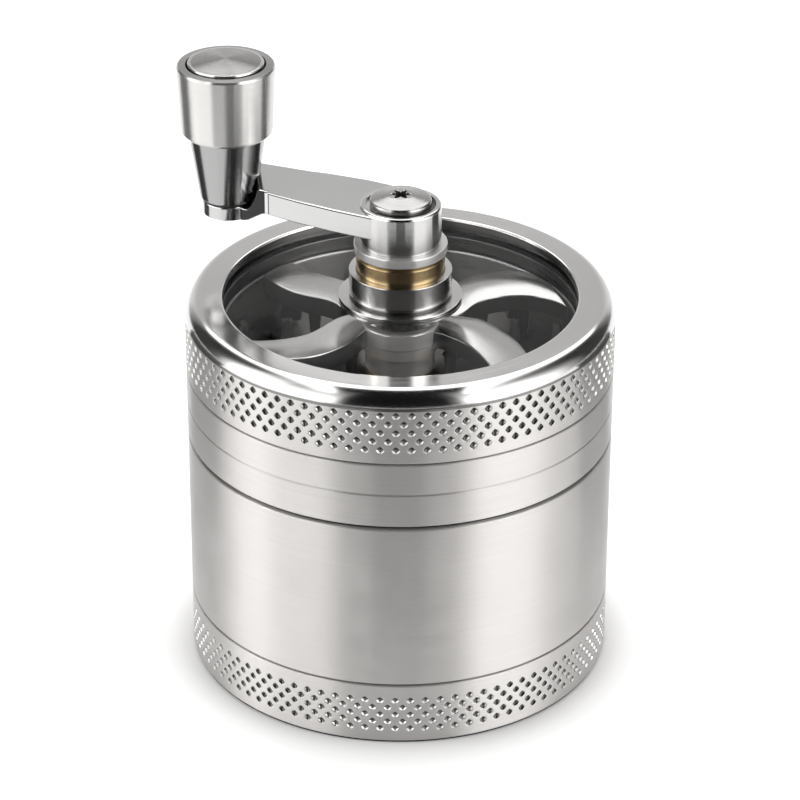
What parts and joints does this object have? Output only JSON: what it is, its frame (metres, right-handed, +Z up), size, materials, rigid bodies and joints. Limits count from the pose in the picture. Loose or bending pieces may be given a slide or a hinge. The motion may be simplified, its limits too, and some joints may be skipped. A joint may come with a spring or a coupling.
{
  "type": "spice mill",
  "caption": "Hand-cranked cylindrical spice mill: knurled base cup, satin storage chamber, toothed grinding section, knurled lid with clear window, and a crank with a tapered knob.",
  "frame": {"origin": "centre of the flat underside of the base cup, on the mill's axis", "axes": "+Z up along the mill's axis; the picture was taken from -Y, so +X is to its right"},
  "size_m": [0.0642, 0.0632, 0.0896],
  "materials": {
    "satin_metal": "fine satin, turned and brushed along the ring",
    "polished_metal": "polished",
    "cast_satin": "tumbled casting, softly polished",
    "plain_steel": "plain turned",
    "mesh_steel": "woven wire",
    "magnet_plating": "nickel plated",
    "bush_brass": "turned, bright",
    "seal_rubber": "matt",
    "slip_plastic": "matt, low friction",
    "clear_window": "clear, polished"
  },
  "bodies": {
    "base": {"base_cup": "satin_metal"},
    "base_seal": {"base_seal": "seal_rubber"},
    "chamber": {"storage_chamber": "satin_metal", "sieve_mesh": "mesh_steel", "sieve_ring": "plain_steel"},
    "chamber_seal": {"chamber_seal": "seal_rubber"},
    "grinder": {"tooth_plate": "satin_metal", "plate_magnet": "magnet_plating", "grinding_ring": "satin_metal"},
    "slip_ring": {"slip_ring": "slip_plastic"},
    "lid": {"lid_ring": "satin_metal", "bezel": "polished_metal", "window_gasket": "seal_rubber", "window": "clear_window", "bearing_housing": "polished_metal", "bearing_nut": "polished_metal", "brass_bush": "bush_brass"},
    "crank": {"spring_washer": "plain_steel", "hub_washer": "polished_metal", "thrust_washer": "slip_plastic", "spindle": "plain_steel", "rotor": "cast_satin", "rotor_screw": "plain_steel", "rotor_magnet": "magnet_plating", "crank_arm": "polished_metal", "crank_screw": "polished_metal", "knob_pin": "plain_steel", "knob_washer": "plain_steel"},
    "knob": {"knob_bush": "slip_plastic", "knob_body": "polished_metal", "knob_sleeve": "satin_metal", "knob_cap": "polished_metal"}
  },
  "joints": [
    {"name": "chamber_turn", "type": "hinge", "parent": "base", "child": "base_seal", "pos_m": [0, 0, 0.0099], "axis": [0, 0, 1], "range_deg": [0, 576]},
    {"name": "chamber_rise", "type": "slide", "parent": "base_seal", "child": "chamber", "axis": [0, 0, 1], "range_m": [0, 0.0041]},
    {"name": "grinder_turn", "type": "hinge", "parent": "chamber", "child": "chamber_seal", "pos_m": [0, 0, 0.0361], "axis": [0, 0, 1], "range_deg": [0, 576]},
    {"name": "grinder_rise", "type": "slide", "parent": "chamber_seal", "child": "grinder", "axis": [0, 0, 1], "range_m": [0, 0.0041]},
    {"name": "lid_turn", "type": "hinge", "parent": "grinder", "child": "slip_ring", "pos_m": [0, 0, 0.0465], "axis": [0, 0, 1], "continuous": true},
    {"name": "lid_lift", "type": "slide", "parent": "slip_ring", "child": "lid", "axis": [0, 0, 1], "range_m": [0, 0.02]},
    {"name": "crank_spin", "type": "hinge", "parent": "lid", "child": "crank", "pos_m": [0, 0, 0.062], "axis": [0, 0, 1], "continuous": true},
    {"name": "knob_spin", "type": "hinge", "parent": "crank", "child": "knob", "pos_m": [-0.0254, 0.0116, 0.0675], "axis": [0, 0, 1], "continuous": true}
  ],
  "couplings": [
    {"joint": "chamber_rise", "follows": "chamber_turn", "m_per_rad": 0.00039789},
    {"joint": "grinder_rise", "follows": "grinder_turn", "m_per_rad": 0.00039789}
  ]
}
